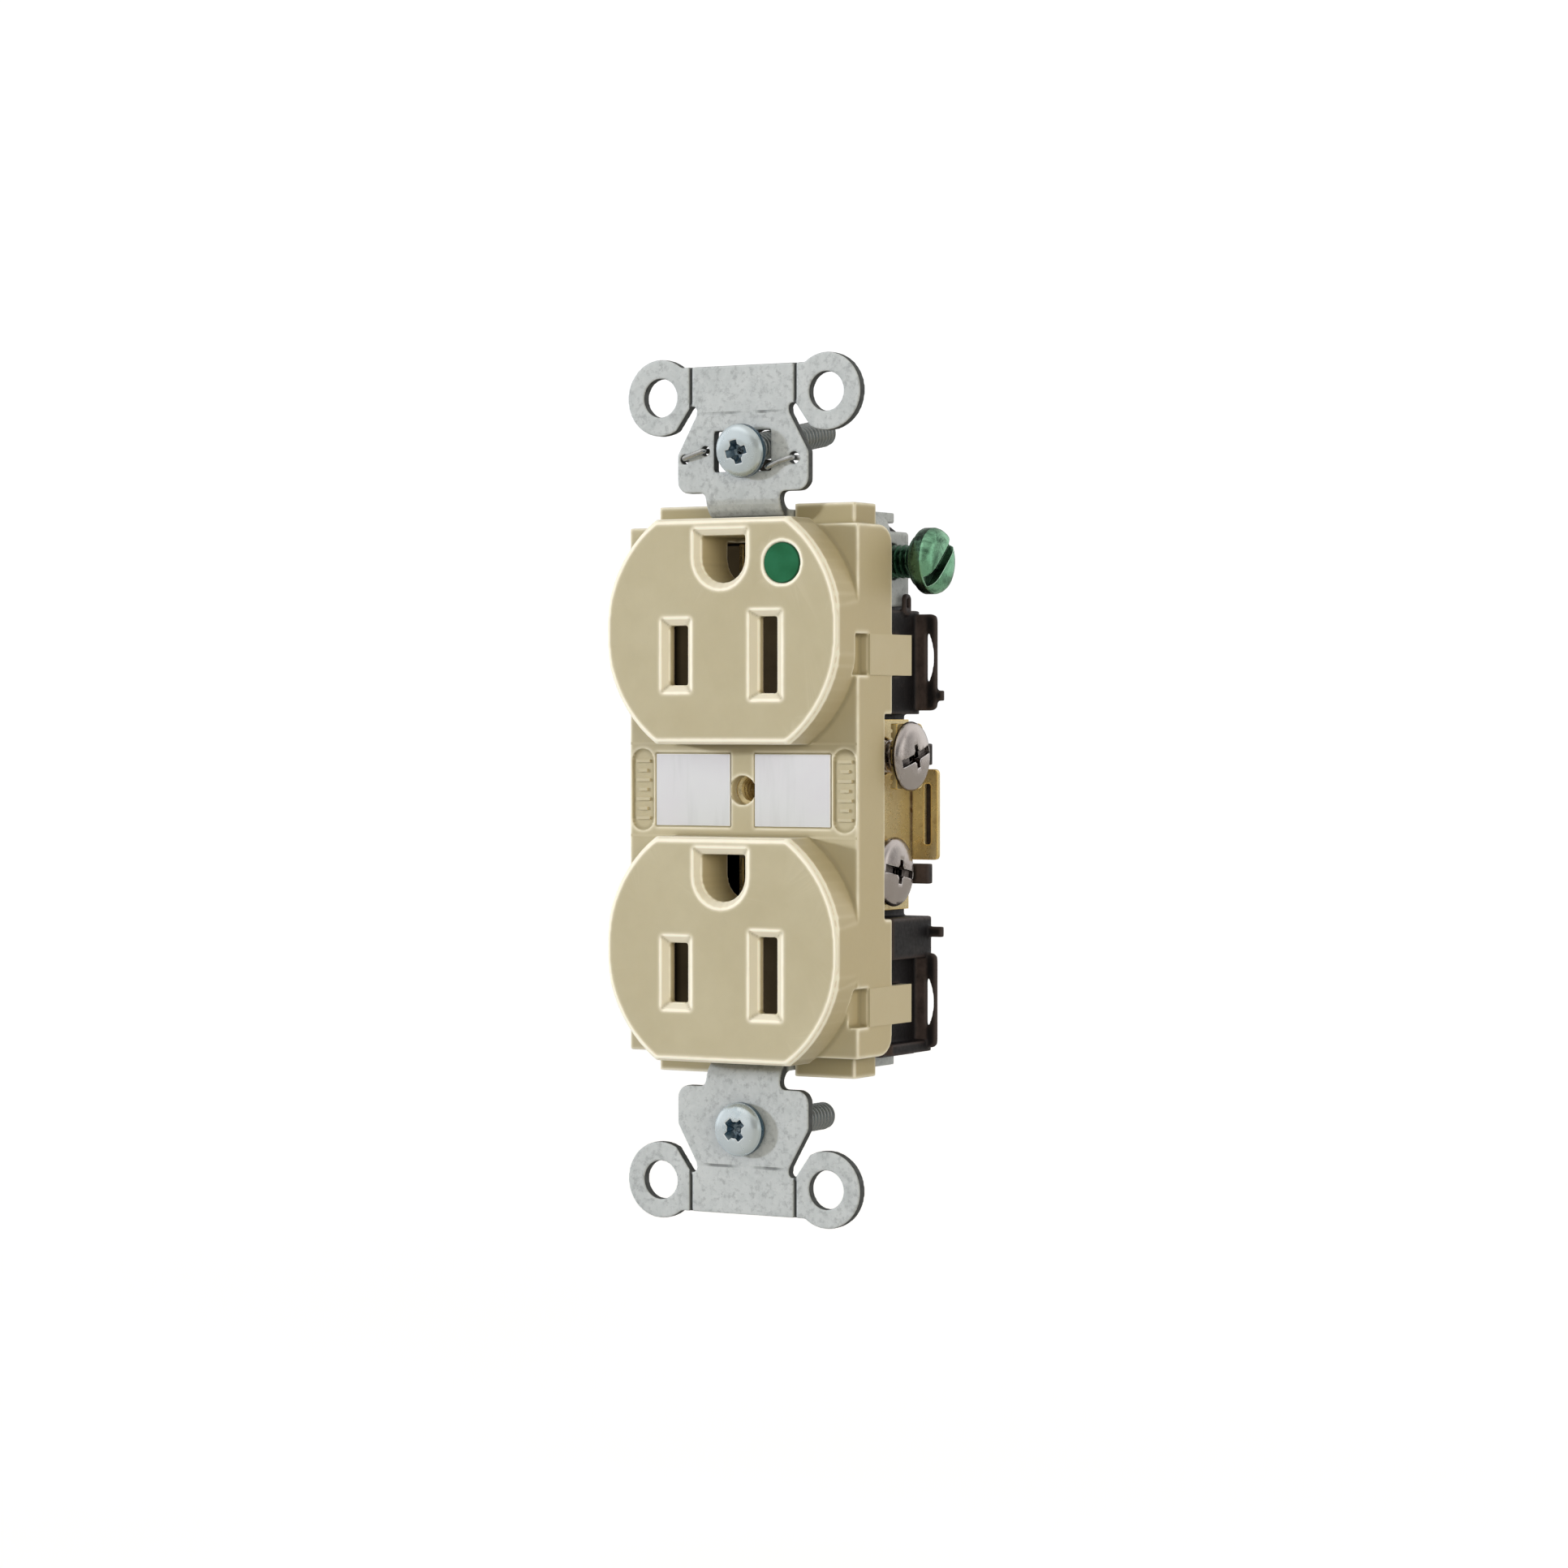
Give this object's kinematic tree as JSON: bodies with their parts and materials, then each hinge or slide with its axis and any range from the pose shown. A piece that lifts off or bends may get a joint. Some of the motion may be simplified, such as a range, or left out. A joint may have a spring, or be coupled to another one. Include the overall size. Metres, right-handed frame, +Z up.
{
  "type": "duplex wall outlet",
  "caption": "Grounded duplex wall outlet with ivory faces, black base, wrap-round metal strap with break-off ears, side terminal screws with clamp plates and mounting screws.",
  "frame": {"origin": "middle of the upper end plate's rear seating face, between the ears, on the device's vertical centre line", "axes": "+Z up, the plug faces look towards -Y, +Y goes into the wall box, +X to the right seen from the front"},
  "size_m": [0.0396, 0.0266, 0.1066],
  "materials": {
    "ivory_nylon": "satin moulded thermoplastic, fine texture, polished lead-ins",
    "black_nylon": "glass-filled, slightly dusty matte",
    "zinc_strap": "dull zinc plate with rolling marks",
    "green_dot": "inlaid ink or insert, satin",
    "label_foil": "blank silver-white label",
    "brass": "stamped, bright edges",
    "spring_wire": "drawn wire",
    "nickel_screw": "bright nickel plate",
    "brass_screw": "bright turned brass",
    "green_screw": "green dyed plating",
    "blue_zinc_screw": "blue-bright zinc",
    "fibre": "pressed fibre"
  },
  "bodies": {
    "outlet": {"face_cover": "ivory_nylon", "rear_base": "black_nylon", "mounting_strap": "zinc_strap", "hospital_grade_dot": "green_dot", "label_plate_left": "label_foil", "label_plate_right": "label_foil", "center_post": "brass", "ground_wire_clip": "spring_wire", "ground_contact_upper": "brass", "ground_rivet_upper": "zinc_strap", "ground_contact_lower": "brass", "ground_rivet_lower": "zinc_strap", "neutral_terminal_bus": "brass", "hot_terminal_bus": "brass"},
    "neutral_clamp_upper": {"neutral_clamp_plate_upper": "brass"},
    "neutral_terminal_upper": {"neutral_screw_upper": "nickel_screw"},
    "neutral_clamp_lower": {"neutral_clamp_plate_lower": "brass"},
    "neutral_terminal_lower": {"neutral_screw_lower": "nickel_screw"},
    "hot_clamp_upper": {"hot_clamp_plate_upper": "brass"},
    "hot_terminal_upper": {"hot_screw_upper": "brass_screw"},
    "hot_clamp_lower": {"hot_clamp_plate_lower": "brass"},
    "hot_terminal_lower": {"hot_screw_lower": "brass_screw"},
    "ground_washer": {"ground_screw_washer": "green_screw"},
    "ground_terminal": {"ground_screw": "green_screw"},
    "upper_retainer": {"retaining_washer_upper": "fibre"},
    "upper_mounting_screw": {"mounting_screw_upper": "blue_zinc_screw"},
    "lower_retainer": {"retaining_washer_lower": "fibre"},
    "lower_mounting_screw": {"mounting_screw_lower": "blue_zinc_screw"}
  },
  "joints": [
    {"name": "neutral_clamp_upper_slide", "type": "slide", "parent": "outlet", "child": "neutral_clamp_upper", "axis": [1, 0, 0], "range_m": [-0.0023, 0.0002]},
    {"name": "neutral_screw_upper_turn", "type": "hinge", "parent": "neutral_clamp_upper", "child": "neutral_terminal_upper", "pos_m": [0.016, 0.0101, -0.04585], "axis": [1, 0, 0], "range_deg": [-1045, 92]},
    {"name": "neutral_clamp_lower_slide", "type": "slide", "parent": "outlet", "child": "neutral_clamp_lower", "axis": [1, 0, 0], "range_m": [0, 0.0025]},
    {"name": "neutral_screw_lower_turn", "type": "hinge", "parent": "neutral_clamp_lower", "child": "neutral_terminal_lower", "pos_m": [0.016, 0.0101, -0.0601], "axis": [1, 0, 0], "range_deg": [0, 1136]},
    {"name": "hot_clamp_upper_slide", "type": "slide", "parent": "outlet", "child": "hot_clamp_upper", "axis": [-1, 0, 0], "range_m": [-0.0023, 0.0002]},
    {"name": "hot_screw_upper_turn", "type": "hinge", "parent": "hot_clamp_upper", "child": "hot_terminal_upper", "pos_m": [-0.016, 0.0101, -0.04585], "axis": [-1, 0, 0], "range_deg": [-1045, 92]},
    {"name": "hot_clamp_lower_slide", "type": "slide", "parent": "outlet", "child": "hot_clamp_lower", "axis": [-1, 0, 0], "range_m": [0, 0.0025]},
    {"name": "hot_screw_lower_turn", "type": "hinge", "parent": "hot_clamp_lower", "child": "hot_terminal_lower", "pos_m": [-0.016, 0.0101, -0.0601], "axis": [-1, 0, 0], "range_deg": [0, 1136]},
    {"name": "ground_washer_slide", "type": "slide", "parent": "outlet", "child": "ground_washer", "axis": [1, 0, 0], "range_m": [-0.0036, 0]},
    {"name": "ground_screw_turn", "type": "hinge", "parent": "ground_washer", "child": "ground_terminal", "pos_m": [0.018, 0.0117, -0.0218], "axis": [1, 0, 0], "range_deg": [-1635, 0]},
    {"name": "upper_mounting_screw_slide", "type": "slide", "parent": "outlet", "child": "upper_retainer", "axis": [0, -0.9869, -0.1616], "range_m": [0, 0.0025]},
    {"name": "upper_mounting_screw_turn", "type": "hinge", "parent": "upper_retainer", "child": "upper_mounting_screw", "pos_m": [0.0006, 0, -0.008], "axis": [0, -0.9869, -0.1616], "continuous": true},
    {"name": "lower_mounting_screw_slide", "type": "slide", "parent": "outlet", "child": "lower_retainer", "axis": [0, -1, 0], "range_m": [0, 0.0024]},
    {"name": "lower_mounting_screw_turn", "type": "hinge", "parent": "lower_retainer", "child": "lower_mounting_screw", "pos_m": [0, 0, -0.09165], "axis": [0, -1, 0], "continuous": true}
  ],
  "couplings": [
    {"joint": "neutral_screw_upper_turn", "follows": "neutral_clamp_upper_slide", "rad_per_m": 7915.8},
    {"joint": "neutral_screw_lower_turn", "follows": "neutral_clamp_lower_slide", "rad_per_m": 7915.8},
    {"joint": "hot_screw_upper_turn", "follows": "hot_clamp_upper_slide", "rad_per_m": 7915.8},
    {"joint": "hot_screw_lower_turn", "follows": "hot_clamp_lower_slide", "rad_per_m": 7915.8},
    {"joint": "ground_screw_turn", "follows": "ground_washer_slide", "rad_per_m": 7915.8}
  ]
}
